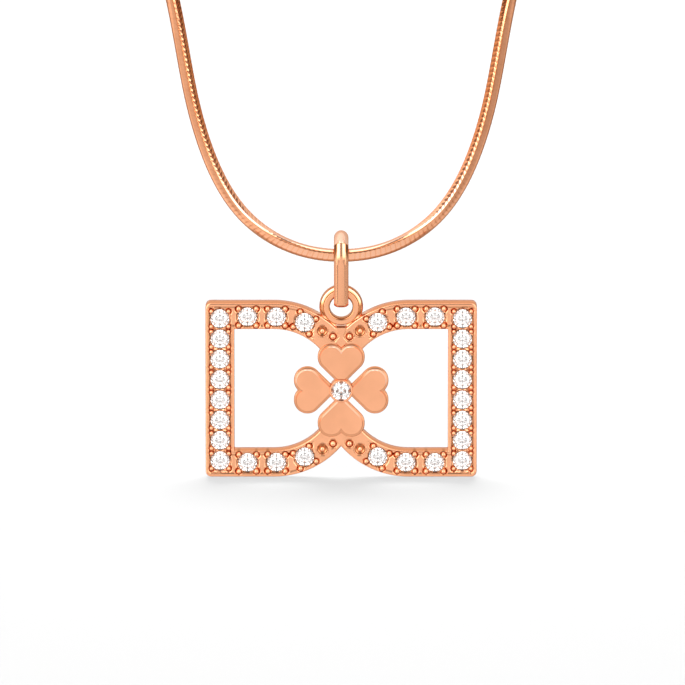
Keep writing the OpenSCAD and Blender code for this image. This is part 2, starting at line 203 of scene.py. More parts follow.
def polish_and_painted_shading_group():
    """What polishing leaves on gold: soft clouds in its colour and gloss, and waves too shallow to see but in
    reflections. Besides, painted shade and painted highlight from a value a point: above zero a deeper colour
    painted into creases, edges and rims, below zero a paler colour painted where gold mirrors gold or an edge
    would catch the light."""
    group = bpy.data.node_groups.new("buffed gold", "ShaderNodeTree")
    for side, kind, names in [
        ("INPUT", "Vector", ["Place"]),
        ("INPUT", "Color", ["Gold", "Painted Shade Gold", "Painted Highlight Gold"]),
        ("INPUT", "Float", ["Hollow", "Gloss", "Cloud Size", "Wave Size", "Wave Height"]),
        ("OUTPUT", "Color", ["Colour"]), ("OUTPUT", "Float", ["Roughness"]), ("OUTPUT", "Vector", ["Normal"]),
    ]:
        for name in names:
            group.interface.new_socket(name, in_out=side, socket_type="NodeSocket" + kind)
    add, join = group.nodes.new, group.links.new
    given, result = add("NodeGroupInput"), add("NodeGroupOutput")

    def noise(size):
        """Noise whose scale is one over the size."""
        inverse = add("ShaderNodeMath")
        inverse.operation = "DIVIDE"
        inverse.inputs[0].default_value = 1
        join(size, inverse.inputs[1])
        texture = add("ShaderNodeTexNoise")
        texture.inputs["Detail"].default_value = 3
        join(given.outputs["Place"], texture.inputs["Vector"])
        join(inverse.outputs[0], texture.inputs["Scale"])
        return texture.outputs["Fac"]

    def ranged(value, low, high, to_low, to_high):
        """A straight line from one range to the other, held at its ends."""
        node = add("ShaderNodeMapRange")
        for name, number in zip(["From Min", "From Max", "To Min", "To Max"], [low, high, to_low, to_high]):
            node.inputs[name].default_value = number
        join(value, node.inputs["Value"])
        return node.outputs[0]

    cloud = noise(given.outputs["Cloud Size"])
    # the share of the deeper colour: the painted shade, plus the clouds' random tone
    deep = add("ShaderNodeMath")
    deep.operation = "ADD"
    deep.use_clamp = True
    join(given.outputs["Hollow"], deep.inputs[0])
    join(ranged(cloud, 0.35, 0.7, 0, 0.16), deep.inputs[1])
    colour = add("ShaderNodeMix")
    colour.data_type = "RGBA"
    join(deep.outputs[0], colour.inputs[0])
    join(given.outputs["Gold"], colour.inputs[6])
    join(given.outputs["Painted Shade Gold"], colour.inputs[7])
    # below zero the value paints a paler colour, a painted highlight
    pale = add("ShaderNodeMix")
    pale.data_type = "RGBA"
    join(ranged(given.outputs["Hollow"], -1, 0, 1, 0), pale.inputs[0])
    join(colour.outputs[2], pale.inputs[6])
    join(given.outputs["Painted Highlight Gold"], pale.inputs[7])
    join(pale.outputs[2], result.inputs["Colour"])
    rough = add("ShaderNodeMath")
    rough.operation = "MULTIPLY"
    join(given.outputs["Gloss"], rough.inputs[0])
    join(ranged(cloud, 0.3, 0.7, 0.75, 1.3), rough.inputs[1])
    join(rough.outputs[0], result.inputs["Roughness"])
    bump = add("ShaderNodeBump")
    join(given.outputs["Wave Height"], bump.inputs["Distance"])
    join(noise(given.outputs["Wave Size"]), bump.inputs["Height"])
    join(bump.outputs["Normal"], result.inputs["Normal"])
    return group


buffed_with_painted_shading = polish_and_painted_shading_group()
rose_gold = (0.905, 0.425, 0.235, 1)
# the colours of the painted shade and of the painted highlight, mixed into the gold by each point's value
painted_shade_gold = (0.5, 0.21, 0.09, 1)
painted_highlight_gold = (0.93, 0.7, 0.58, 1)
rose_gold_rim = (0.88, 0.6, 0.45, 1)


def plain_material(name, settings):
    """A new material with plain values on its shader's sockets."""
    material = bpy.data.materials.new(name)
    material.use_nodes = True
    shader = material.node_tree.nodes["Principled BSDF"]
    for socket, value in settings.items():
        shader.inputs[socket].default_value = value
    return material


def gold_material(name, gloss, cloud_size, wave_size, wave_height, deep=painted_shade_gold):
    """Polished rose gold, with painted shade and painted highlight from the piece's own point attribute,
    where it has one.
    """
    material = plain_material(name, {"Metallic": 1, "Specular Tint": rose_gold_rim})
    nodes, links = material.node_tree.nodes, material.node_tree.links
    shader = nodes["Principled BSDF"]
    place = nodes.new("ShaderNodeTexCoord")
    # the point attribute that holds the painted shade and painted highlight
    painted_shading = nodes.new("ShaderNodeAttribute")
    painted_shading.attribute_name = "painted_shading"
    skin = nodes.new("ShaderNodeGroup")
    skin.node_tree = buffed_with_painted_shading
    links.new(place.outputs["Object"], skin.inputs["Place"])
    links.new(painted_shading.outputs["Fac"], skin.inputs["Hollow"])
    for socket, value in {
        "Gold": rose_gold, "Painted Shade Gold": deep, "Painted Highlight Gold": painted_highlight_gold, "Gloss": gloss,
        "Cloud Size": cloud_size, "Wave Size": wave_size, "Wave Height": wave_height,
    }.items():
        skin.inputs[socket].default_value = value
    links.new(skin.outputs["Colour"], shader.inputs["Base Color"])
    links.new(skin.outputs["Roughness"], shader.inputs["Roughness"])
    links.new(skin.outputs["Normal"], shader.inputs["Normal"])
    return material


def strand_section(low):
    """Flat-sided section as (outward, front) places, on the sides or at the lowest point: a wide outer face
    in three flats, a narrow bright one on the front edge and an inner face, with the same turned half round
    behind. Each corner is cut: it gives way to two points, the length of the cut before and after it. Each
    point has the depth, shade and number of its own face's grooves."""
    corners = strand_corners[:, 2:4] if low else strand_corners[:, :2]
    corners = np.vstack([corners, -corners])
    cut = np.tile(strand_corners[:, 4:5], (2, 1))
    before = corners + cut * unit(np.roll(corners, 1, 0) - corners)
    after = corners + cut * unit(np.roll(corners, -1, 0) - corners)
    after_corner = np.tile(strand_grooves[:, [1, 3, 4] if low else [0, 2, 4]], (2, 1))
    grooves = np.stack([np.roll(after_corner, 1, 0), after_corner], 1).reshape(-1, 3)
    return np.stack([before, after], 1).reshape(-1, 2), grooves


def chain_links():
    """The section is carried along the route in a frame of three directions: the way, the direction straight
    away from a point high over the pendant, and the one across both. It passes from the section of the sides
    to the one of the lowest point by the share low. Each link is four rings: one sunk where two links meet
    and three over its back. A groove's depth is that of the sides times the square of what low leaves, plus
    that of the lowest point times the square of low, so that it is shallow between them. The grooves slant
    across the front edge. The colour carries painted shade and painted highlight: darker grooves, the
    table's shades for the upper sides, the lower sides and the lowest point, weighted by distance, and a
    painted dark dot at one corner to either side of the lowest point."""
    curve = spline(whole_route())
    lengths = np.concatenate([[0], np.cumsum(np.linalg.norm(np.diff(curve, axis=0), axis=1))])
    links = round(lengths[-1] / link_pitch)
    along = ((np.arange(links)[:, None] + link_rings) / links * lengths[-1]).ravel()
    along = np.append(along, lengths[-1])
    at = np.stack([np.interp(along, lengths, curve[:, k]) for k in range(3)], -1)
    way = unit(np.gradient(at, axis=0))
    back = unit(np.cross(way, at - outward_from))
    outward = np.cross(back, way)
    away = np.hypot(at[:, 0], at[:, 1])[:, None]
    low = 1 - smooth_step(away, *low_to_side)
    side_section, side_grooves = strand_section(False)
    low_section, low_grooves = strand_section(True)
    section = side_section + (low_section - side_section) * low[..., None]
    once, twice = (np.append(np.tile(sunk, links), 1)[:, None] for sunk in (one_groove, two_grooves))
    sunk = np.where(side_grooves[:, 2] == 1, once, twice)
    depth = once * (side_grooves[:, 0] * (1 - low) ** 2 + low_grooves[:, 0] * low ** 2)
    shade = sunk * (side_grooves[:, 1] + (low_grooves - side_grooves)[:, 1] * low)
    upper = smooth_step(away, *side_to_upper)
    for weight, first in [(upper, 0), (1 - upper - low, 2), (low, 4)]:
        shade += weight * np.tile(strand_shades[:, first:first + 2].ravel(), 2)
    dotted = smooth_step(away, *dots_begin) * (1 - smooth_step(away, *dots_end))
    # painted shade: a dark dot at the dotted corner of each link
    shade[:, dotted_corner] += dot_shade * once * dotted
    spread = section - depth[..., None] * unit(section)
    slant = np.repeat(np.append(strand_corners[:, 5], 0 * strand_corners[:, 5]), 2)
    points = (chain_low + at[:, None, :] + spread[:, :, :1] * outward[:, None, :]
              - spread[:, :, 1:] * back[:, None, :] + slant[None, :, None] * way[:, None, :])
    sides = grid_faces(len(points), len(slant), wrap_columns=True)
    first = np.arange(len(slant))[None]
    ends = [first[:, ::-1], first + (len(points) - 1) * len(slant)]
    return points, [sides, *ends], np.clip(shade, -1, 1)


# the chain's painted shade is a redder deep gold
chain_gold = gold_material("snake chain gold", 0.085, 0.9 * mm, 0.5 * mm, 0.001 * mm, (0.55, 0.17, 0.055, 1))
points, faces, painted_shading = chain_links()
make_piece("snake_chain", "root", "chain", chain_gold, points, faces, None, painted_shading)

# The clasp at the nape: a slim turned barrel of rose gold, which the photograph doesn't show. Its two halves
# meet at a fine groove, and the chain's ends are soldered into its end cups.

clasp_low, clasp_high = (np.array(corner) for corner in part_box("clasp"))
clasp_r = (clasp_high[2] - clasp_low[2]) / 2
clasp_half = clasp_high[0]
polished_gold = gold_material("polished rose gold", 0.13, 2.2 * mm, 0.9 * mm, 0.0012 * mm)


def rounded(corners, steps=5):
    """A closed profile whose corners, each given with its own radius, are rounded: on each corner a curve of
    the second degree runs between points one radius away along both sides."""
    corners = np.array(corners, float)
    here, r = corners[:, :2], corners[:, 2:]
    before, after = np.roll(here, 1, 0), np.roll(here, -1, 0)
    start = here + r * unit(before - here)
    end = here + r * unit(after - here)
    t = np.linspace(0, 1, steps)[:, None, None]
    curve = (1 - t) ** 2 * start + 2 * t * (1 - t) * here + t ** 2 * end
    return curve.transpose(1, 0, 2).reshape(-1, 2)


def turned(profile, steps):
    """A closed profile of (radius, place along the axis), carried round a full circle: the radius times the
    cosine and the sine of the turn. Gives the points across, up and along the axis, and the faces."""
    turns = np.linspace(0, 2 * pi, steps, endpoint=False)[:, None]
    points = np.stack([profile[:, 0] * np.cos(turns), profile[:, 0] * np.sin(turns),
                       profile[:, 1] + 0 * turns], -1)
    return points, grid_faces(steps, len(profile), True, True)


strand_hole = 0.6 * mm
end_cup_r = clasp_r - 0.35 * mm
half_barrel = np.array([
    # radius, place along the barrel and rounding of each corner, from the strand's hole to the middle groove
    [strand_hole, -clasp_half + 0.7 * mm, 0.02 * mm], [strand_hole, -clasp_half, 0.08 * mm],
    [end_cup_r, -clasp_half, 0.12 * mm], [end_cup_r, -clasp_half + mm, 0.3 * mm],
    [clasp_r, -clasp_half + 1.8 * mm, 0.5 * mm], [clasp_r, -0.12 * mm, 0.05 * mm],
])
middle_groove = [[clasp_r - 0.1 * mm, 0, 0.04 * mm]]
barrel = np.vstack([half_barrel, middle_groove, (half_barrel * [1, -1, 1])[::-1]])
points, faces = turned(rounded(barrel), 48)
points = points[..., [2, 0, 1]] + (clasp_low + clasp_high) / 2
make_piece("barrel_clasp", "root", "clasp", polished_gold, points, [faces], 50)

# The bail: a tall closed link of cast rose gold that hangs on the chain. Its crown is round, its legs are
# flat with bevelled edges and grow slimmer downwards, and a bar at its foot goes through the pendant's loop.

bail_half_w = 0.585 * mm
bail_flat_w = 0.37 * mm
bail_slot = 0.7 * mm
bail_slot_top = 0.78 * mm
bail_crown_t = 1.24 * mm
bail_arcs = [
    # radius, lean where the arc begins and ends, in degrees, and points
    [1.91 * mm, 90, 40, 19],
    [0.25 * mm, 40, 16, 7],
    [4.85 * mm, 16, 0, 17],
]
bail_foot_half = 1.4 * mm
bail_bar_t = 0.61 * mm
bail_foot_corner = 0.24 * mm
loop_centre = joint_place["pendant_swing"]
loop_hole_r = 0.91 * mm
bar_play = 0.21 * mm
bail_slot_foot = loop_centre[2] - chain_low[2] + loop_hole_r - bar_play


def arc(start, end, count):
    """Cosine and sine of even turns from one to the other, in degrees."""
    turn = np.radians(np.linspace(start, end, count))
    return np.stack([np.cos(turn), np.sin(turn)], -1)


def bail_edges(steps):
    """Inner and outer edge of the link's front half, seen from the side, as (depth, height) from the chain:
    an arch, a straight leg, and a rounded corner at the foot. The inner arch is a quarter of a circle. The
    outer one is three arcs that follow each other smoothly, a wide one over the top, a tight one at the
    shoulder and a very wide one in front: each adds its radius times the change of (cosine, sine) of its
    lean."""
    inner_arch = [0, bail_slot_top - bail_slot] + bail_slot * arc(0, 90, steps)[:, ::-1]
    outer_arch = np.array([[0, bail_slot_top + bail_crown_t]])
    for radius, lean_from, lean_to, count in bail_arcs:
        way = arc(lean_from, lean_to, count)
        outer_arch = np.vstack([outer_arch, outer_arch[-1] + radius * (way - way[0])[1:]])
    bar_foot = bail_slot_foot - bail_bar_t
    inner_foot, outer_foot = (
        [depth - r, height + r] + r * arc(90, 180, steps)[:, ::-1]
        for depth, height, r in [(bail_slot, bail_slot_foot, 0.3 * mm), (bail_foot_half, bar_foot, 0.5 * mm)])
    middle = np.array([[0, bail_slot_foot], [0, bar_foot]])
    leg = np.linspace(0, 1, 24)[1:-1, None]
    inner = np.vstack([inner_arch, inner_arch[-1] * (1 - leg) + inner_foot[0] * leg, inner_foot, middle[:1]])
    outer = np.vstack([outer_arch, outer_arch[-1] * (1 - leg) + outer_foot[0] * leg, outer_foot, middle[1:]])
    return inner, outer


def bail_surface():
    """Each ring has its places across, x = half the width times the cosine of a turn. Its outer side lies at
    half the bar's thickness less a drop, which is a shallow bulge times x squared, and a steeper bevel beyond
    the flat. On the crown the drop gives way to an ellipse, over a lower edge that dips to either side of the
    middle, and at the foot the outer corners are rounded. The turns stand closer where the flat meets the
    bevel. Painted shade: a deeper gold along the bevels, on the shoulder's sides and where the crown begins.
    Painted highlight: a paler gold where the front leans back."""
    inner, outer = bail_edges(41)
    tangent = np.gradient(outer, axis=0)
    lean = np.degrees(np.arctan2(tangent[:, :1], -tangent[:, 1:]))
    lean[0] = 90
    lean = np.vstack([lean, lean[-2:0:-1]])
    inner = np.vstack([inner, (inner * [-1, 1])[-2:0:-1]])
    outer = np.vstack([outer, (outer * [-1, 1])[-2:0:-1]])
    mid, half = (inner + outer) / 2, (outer - inner) / 2
    thick = np.linalg.norm(half, axis=1)[:, None]
    way_out = half / thick
    turn = np.radians([0, 6, 14, 22, 30, 38, 45, 49.2, 52.2, 56, 62, 70, 77, 83.5])
    turn = np.concatenate([turn, [pi / 2], pi - turn[::-1]])
    x = bail_half_w * np.cos(turn)
    wide = np.abs(x)[None]
    height = mid[:, 1:]
    arch = smooth_step(height, -0.35 * mm, -0.1 * mm)
    dip = 5 * (wide / (0.27 * mm) - 1) ** 2
    crown = smooth_step(lean + dip, 20, 36) * (height > 0)
    foot = smooth_step(-height, 3.3 * mm, 3.6 * mm)
    bulge, slope = (0.3 + 0.28 * arch) / mm, 0.75 + 0.35 * arch
    drop = bulge * np.minimum(wide, bail_flat_w) ** 2 + slope * np.maximum(wide - bail_flat_w, 0)
    drop += 0.05 * mm * smooth_step(wide, 0.55 * mm, bail_half_w)
    corner = np.clip((wide - bail_half_w + 0.2 * mm) / (0.2 * mm), 0, 1)
    drop = np.maximum(drop, foot * bail_foot_corner * (1 - np.sqrt(1 - corner ** 2)))
    flat_out = thick - drop
    flat_in = thick - 0.1 * mm * smooth_step(wide, 0.42 * mm, bail_half_w)
    ellipse = thick * np.sin(turn)[None]
    out = flat_out + (ellipse - flat_out) * crown
    back = flat_in + (ellipse - flat_in) * crown
    ring_x = np.concatenate([x, x[::-1]])[None] + 0 * thick
    ring_out = np.hstack([out, -back[:, ::-1]])
    # painted shade at the flat's edge, on the shoulder's sides and at the crown's foot, and painted highlight
    # where the front leans back
    edge = 1 - smooth_step(np.abs(wide - bail_flat_w), 0.012 * mm, 0.03 * mm)
    side_from = 0.42 * mm - 0.13 * mm * smooth_step(lean, 4, 10)
    side = smooth_step(wide, side_from, side_from + 0.04 * mm)
    side = arch * (1 - crown) * side * smooth_step(height, -0.1 * mm, 0.3 * mm)
    deep = np.maximum(0.3 * edge * (1 - crown), np.maximum(0.9 * side, 3.6 * crown * (1 - crown)))
    pale = (0.15 + 0.35 * crown) * smooth_step(lean, 3, 12) * (1 - np.minimum(deep, 1))
    marks = np.hstack([deep - pale, 0 * deep])
    profile = mid[:, None] + ring_out[..., None] * way_out[:, None]
    return np.concatenate([ring_x[..., None], profile], -1), marks


points, marks = bail_surface()
faces = grid_faces(points.shape[0], points.shape[1], True, True)
make_piece("bail_link", "bail", "bail", polished_gold, chain_low + points, [faces], None, marks)

# The wings: two half-round frames back to back, cast with the rest of the pendant in one piece of rose gold.
# A channel is sunk between two rails along each band, and every stone has a seat bored through from front to
# back. The metal round the seats is cut away, which leaves small islands between the stones of the arms.

loop_rise = 6.7 * mm
pendant_centre = loop_centre - [0, 0, loop_rise]
bowl_x = 5.4 * mm
bowl_r = 7.1 * mm
window_r = 4.98 * mm
wing_left = 10.87 * mm
window_left = 8.56 * mm
waist_z = 3 * mm
wing_front = -0.8 * mm
wing_back = 0.8 * mm
wing_corner = 0.45 * mm
window_corner = 0.08 * mm
edge_round = 0.1 * mm
rail_w = 0.34 * mm
channel_depth = 0.18 * mm
cell = 0.065 * mm
column_x = 9.715 * mm
stone_pitch = 1.66 * mm
seat_r = 0.785 * mm
hole_r = 0.35 * mm
# x, z and turn of the stones, and x, z, radius and bead radius of the empty cups, above and then below
column_stones = [[-column_x, stone_pitch * (k + 0.5), 0] for k in range(4)]
arm_stones = [[-7.51 * mm, 5.96 * mm, 0], [-5.19 * mm, 5.95 * mm, 0], [-2.93 * mm, 5.5 * mm, radians(-25)]]
left_stones = np.array(column_stones + arm_stones)
left_stones = np.vstack([left_stones, left_stones * [1, -1, -1]])
left_cups = mm * np.array([[-1.51, 4.83, 0.45, 0.26], [-0.66, 4.38, 0.34, 0.29]])
left_cups = np.vstack([left_cups, left_cups * [1, -1, 1, 1]])


def even_places(line, step):
    """Places at even steps along a line of points."""
    lengths = np.concatenate([[0], np.cumsum(np.linalg.norm(np.diff(line, axis=0), axis=1))])
    at = np.linspace(0, lengths[-1], max(2, round(lengths[-1] / step) + 1))
    return np.stack([np.interp(at, lengths, line[:, k]) for k in range(2)], -1)


def wing_edges():
    """Outer and inner edge of the left wing's upper half, from the middle of the pendant to the middle of the
    column: two arcs about the bowl's centre, from 28 degrees, just past the pendant's middle line, to 90,
    then two straight arms, two rounded corners and two straight columns."""
    bowl = arc(28, 90, round(radians(62) * bowl_r / cell))
    outer, inner = [bowl_r * bowl - [bowl_x, 0]], [window_r * bowl - [bowl_x, 0]]
    arm_end = -window_left + window_corner
    arm = np.arange(-bowl_x - cell, arm_end, -cell)[:, None]
    outer.append(np.hstack([arm, 0 * arm + bowl_r]))
    inner.append(np.hstack([arm, 0 * arm + window_r]))
    bend = wing_corner * arc(90, 180, 12) + [wing_corner - wing_left, bowl_r - wing_corner]
    bend = np.vstack([[[arm_end, bowl_r]], bend, [[-wing_left, window_r - window_corner]]])
    outer.append(even_places(bend, cell))
    bend = window_corner * arc(90, 180, len(outer[-1]))
    inner.append(bend + [window_corner - window_left, window_r - window_corner])
    column = np.linspace(window_r - window_corner, 0, round(window_r / cell))[1:, None]
    outer.append(np.hstack([0 * column - wing_left, column]))
    inner.append(np.hstack([0 * column - window_left, column]))
    return np.vstack(outer), np.vstack(inner)


def to_outline(x, z):
    """How far a place lies inside the band's outer edge, and how far outside its inner edge."""
    bowl = np.hypot(np.maximum(x + bowl_x, 0), z)
    outer = np.minimum(bowl_r - bowl, x + wing_left)
    outer_corner = np.hypot(x + wing_left - wing_corner, np.abs(z) - bowl_r + wing_corner)
    in_corner = (x < wing_corner - wing_left) & (np.abs(z) > bowl_r - wing_corner)
    outer = np.where(in_corner, wing_corner - outer_corner, outer)
    inner = np.maximum(bowl - window_r, -window_left - x)
    return outer, inner


def nearest(x, z, places):
    """Distance to the nearest of several places, one by one because there are few of them."""
    return np.min([np.hypot(x - place[0], z - place[1]) for place in places], axis=0)


# distance of a bead from the middle of its stone, across and along the band, and its radius
column_bead = mm * np.array([0.69, 0.62, 0.19])
arm_bead = mm * np.array([0.7, 0.69, 0.235])
bead_floor = wing_front + channel_depth


def corner_beads(stones):
    """Four beads round each stone, turned with the band: x, z and radius."""
    beads = []
    for x, z, turn in stones:
        side, length, r = column_bead if x < -window_left else arm_bead
        for i in (-1, 1):
            for j in (-1, 1):
                beads.append([x + i * side * cos(turn) - j * length * sin(turn),
                              z + i * side * sin(turn) + j * length * cos(turn), r])
    return np.array(beads)


left_beads = corner_beads(left_stones)


def edge_drop(edge):
    """How far a rounded edge falls below the face at a distance inside it: the radius less the height of a
    quarter circle, which is the root of the radius squared less what is left of the way squared."""
    inside = np.clip(edge, 0, edge_round)
    return edge_round - np.sqrt(np.maximum(edge_round ** 2 - (edge_round - inside) ** 2, 0))


def wing_front_depth(x, z):
    """Depth of the front: the rails' rounded edges and the channel between them, lowered round each bead,
    raised to an island between stones and to the face in the middle of the pendant, and sunk to a cone under
    each stone. The second value is painted shade, up to 1 round the beads, the seats, the rails' feet and the
    cups, and -1, a painted paler reflection, on the upper rims of the middle, which mirror the hearts."""
    outer, inner = to_outline(x, z)
    edge = np.minimum(outer, inner)
    to_stone = nearest(x, z, left_stones)
    to_bead = nearest(x, z, left_beads) - np.where(x < -window_left, column_bead[2], arm_bead[2])
    rail = 1 - smooth_step(edge, rail_w - 0.07 * mm, rail_w)
    island = 0.85 * smooth_step(to_bead, 0.02 * mm, 0.1 * mm) * (1 - rail)
    island = island * smooth_step(to_stone, 0.82 * mm, 0.95 * mm)
    middle = smooth_step(x, -2.35 * mm, -2.15 * mm)
    height = channel_depth * np.maximum(np.maximum(rail, island), middle)
    height = height * smooth_step(to_stone, seat_r + 0.001 * mm, seat_r + 0.03 * mm)
    height = height * smooth_step(to_bead, -0.03 * mm, 0.04 * mm)
    to_cup = np.min([np.hypot(x - cx, z - cz) - r for cx, cz, r, _ in left_cups], axis=0)
    cups = 0.2 * mm * (1 - smooth_step(to_cup, 0.0, 0.03 * mm))
    cone = np.where(to_stone < seat_r - 0.001 * mm, seat_r + 0.06 * mm - to_stone, 0)
    depth = wing_front + edge_drop(edge) + channel_depth - height + cups + cone
    # painted shade round the beads, the seats, along the rails' feet and round the cups
    painted_shading = np.max([
        1 - smooth_step(to_bead, 0.03 * mm, 0.1 * mm),
        0.8 * (1 - smooth_step(to_stone, seat_r, seat_r + 0.05 * mm)),
        0.7 * (1 - smooth_step(np.abs(edge - rail_w + 0.02 * mm), 0.02 * mm, 0.08 * mm)) * (1 - middle),
        1 - smooth_step(to_cup, 0.0, 0.05 * mm),
    ], axis=0)
    painted_pale_rim = (z > 4 * mm) * (1 - smooth_step(outer, 0.01 * mm, 0.06 * mm))
    return depth, painted_shading - smooth_step(x, -2.6 * mm, -1.6 * mm) * painted_pale_rim


def pendant_piece(name, material, points, faces, crease, marks=None, centre=pendant_centre):
    """All of the cast and soldered pendant moves together and stands for its one CAD node."""
    make_piece(name, "pendant", "pendant", material, centre + points, faces, crease, marks)


def left_wing():
    """A sheet in front and a sheet behind on one grid of lines along the band, closer at its edges. Grid
    points near a seat or a hole are moved onto its circle. The sheets meet along the edges, and inside each
    bored hole the cells are left out and a wall joins them. At the waist, where the two bowls run into each
    other, the band ends in a level ledge above and below, painted a paler gold, a painted reflection of the
    hearts."""
    outer, inner = wing_edges()
    outer = np.vstack([outer, (outer * [1, -1])[-2::-1]])
    inner = np.vstack([inner, (inner * [1, -1])[-2::-1]])
    edge = mm * np.array([0, 0, 0.012, 0.035, 0.065, 0.1, 0.15, 0.2, 0.245, 0.29, 0.335])
    edge = edge / (bowl_r - window_r)
    middle = np.linspace(edge[-1], 1 - edge[-1], 22)[1:-1]
    share = np.concatenate([edge, middle, 1 - edge[::-1]])[None, :, None]
    flat = outer[:, None, :] * (1 - share) + inner[:, None, :] * share
    for x, z, _ in left_stones:
        away = flat - [x, z]
        distance = np.linalg.norm(away, axis=-1, keepdims=True)
        for r in (hole_r, seat_r):
            near = np.abs(distance - r) < 0.55 * cell
            flat = np.where(near, [x, z] + away * r / np.maximum(distance, 1e-9), flat)
    x, z = np.minimum(flat[..., 0], 0), flat[..., 1]
    in_waist = (np.abs(z) < waist_z) & (x > -bowl_x)
    z = np.where(in_waist, np.sign(outer[:, None, 1]) * waist_z, z)
    front, painted_shading = wing_front_depth(x, z)
    front[:, [0, -1]] = 0
    front[:, [1, -2]] = wing_front + edge_round
    # the ledge at the waist is painted paler, a painted reflection of the hearts
    painted_shading = np.where(np.isclose(np.abs(z), waist_z) & (x > -2 * mm), -1, painted_shading)
    back = wing_back - edge_drop(np.minimum(*to_outline(x, z)))
    back[:, [1, -2]] = wing_back - edge_round
    rows, columns = x.shape
    ring = np.concatenate([np.stack([x, front, z], -1), np.stack([x, back, z], -1)[:, -2:0:-1]], axis=1)
    # the back sheet takes only the painted paler marks
    marks = np.concatenate([painted_shading, np.minimum(painted_shading, 0)[:, -2:0:-1]], axis=1)
    size = ring.shape[1]
    number = np.arange(rows * size).reshape(rows, size)
    front_of = number[:, :columns]
    back_of = np.hstack([number[:, :1], number[:, :columns - 1:-1], number[:, columns - 1:columns]])
    bored = nearest(cell_corners(x).mean(-1), cell_corners(z).mean(-1), left_stones) < hole_r
    blocks = [cell_corners(sheet)[~bored] for sheet in (front_of, back_of)]
    across = np.argwhere(bored[1:] != bored[:-1]) + [1, 0]
    along = np.argwhere(bored[:, 1:] != bored[:, :-1]) + [0, 1]
    ends = [(row, np.arange(columns - 1), 0, 1) for row in (0, rows - 1)]
    for i, j, down, right in [(*across.T, 0, 1), (*along.T, 1, 0), *ends]:
        here, there = (i, j), (i + down, j + right)
        blocks.append(np.stack([front_of[here], front_of[there], back_of[there], back_of[here]], -1))
    points = ring.reshape(-1, 3)
    faces = np.vstack(blocks)
    on_seam = np.abs(points[faces][..., 0]).max(axis=1) < 1e-9
    return points, faces[~on_seam], marks.ravel()


cast_gold = gold_material("cast rose gold", 0.17, 1.6 * mm, 0.6 * mm, 0.0015 * mm)
left_points, left_faces, left_marks = left_wing()
points = np.vstack([left_points, left_points * [-1, 1, 1]])
faces = np.vstack([left_faces, left_faces[:, ::-1] + len(left_points)])
pendant_piece("wings", cast_gold, points, [faces], 55, np.tile(left_marks, 2))

# The beads: small round grains of the wings' own metal, raised with a graver and rounded over the stones'
# edges to hold them, four to a stone. The last ones, near the middle, stand in empty cups.

bead_sides = 16


def ball(sides):
    """Unit ball: a half circle of radius sin(a) and height cos(a), carried round."""
    turn = np.linspace(0, pi, sides // 2 + 1)
    points, faces = turned(np.stack([np.sin(turn), -np.cos(turn)], -1), sides)
    return points[..., [0, 2, 1]].reshape(-1, 3), grid_faces(sides, len(turn), True)


def bead_cluster(beads):
    """One ball for each bead, at its place and size, with painted shade, a deeper gold, towards its foot."""
    shape, faces = ball(bead_sides)
    x, z, r, y = beads.T
    places = np.stack([x, y, z], -1)
    points = places[:, None, :] + r[:, None, None] * shape[None]
    # painted shade towards the bead's foot, next to the channel's floor
    marks = smooth_step(points[..., 1], bead_floor - 0.1 * mm, bead_floor - 0.02 * mm)
    numbers = faces[None] + (len(shape) * np.arange(len(beads)))[:, None, None]
    return points, numbers.reshape(-1, 4), marks


cup_beads = np.hstack([left_cups[:, [0, 1, 3]], np.full((4, 1), bead_floor - 0.02 * mm)])
stone_beads = np.hstack([left_beads, np.full((len(left_beads), 1), bead_floor - 0.09 * mm)])
all_beads = np.vstack([stone_beads, cup_beads])
all_beads = np.vstack([all_beads, all_beads * [-1, 1, 1, 1]])
points, faces, marks = bead_cluster(all_beads)
bead_gold = gold_material("bead gold", 0.1, 0.8 * mm, 0.5 * mm, 0.0005 * mm)
pendant_piece("beads", bead_gold, points, [faces], 80, marks)

# Dishes: each empty cup is cut out round its bead with a hollow tool, which leaves a turned dish of rose gold
# with a sharp rim. Its colour carries painted shade: a dark line where it meets the face, and deeper gold
# inside.

dish_steps = mm * np.array([
    [0.055, -0.004], [0.03, -0.012], [-0.01, -0.008], [-0.03, 0.03],
    [-0.06, 0.1], [-0.1, 0.12], [-0.45, 0.12],
])
# painted shade on each step of the dish
dish_shades = np.array([1, 0.4, 0.2, 0.9, 1, 1, 0.6])
dish_foot = 0.25 * mm


def cup_dishes():
    """Each dish is the same profile about its own centre, as (step beyond the cup's radius, depth), closed
    below by a flat foot."""
    turn = np.linspace(0, 2 * pi, 40, endpoint=False)
    cups = np.vstack([left_cups, left_cups * [-1, 1, 1, 1]])
    r = np.maximum(cups[:, 2][:, None] + dish_steps[:, 0], 0)
    x = cups[:, 0][:, None, None] + r[..., None] * np.cos(turn)
    z = cups[:, 1][:, None, None] + r[..., None] * np.sin(turn)
    y = wing_front + dish_steps[:, 1][None, :, None] + 0 * x
    below = np.stack([x[:, :1], y[:, :1] + dish_foot, z[:, :1]], -1)
    points = np.concatenate([below, np.stack([x, y, z], -1)], axis=1)
    bottom = np.stack([cups[:, 0], 0 * cups[:, 0] + wing_front + dish_foot, cups[:, 1]], -1)
    points = np.concatenate([bottom[:, None, None] + 0 * points[:, :1], points], axis=1)
    shape = grid_faces(points.shape[1], len(turn), wrap_columns=True)
    count = points.shape[1] * len(turn)
    faces = shape[None] + (count * np.arange(len(cups)))[:, None, None]
    shades = np.concatenate([[0, 0], dish_shades])[None, :, None] + 0 * points[..., 0]
    return points, faces.reshape(-1, 4), shades


points, faces, marks = cup_dishes()
pendant_piece("cup_dishes", cast_gold, points, [faces], 60, marks)

# The clover: four polished hearts of rose gold, soldered to the wings above and below and to the bezel in the
# middle. Each has a flat face inside a rounded rim, with a fine step between them.

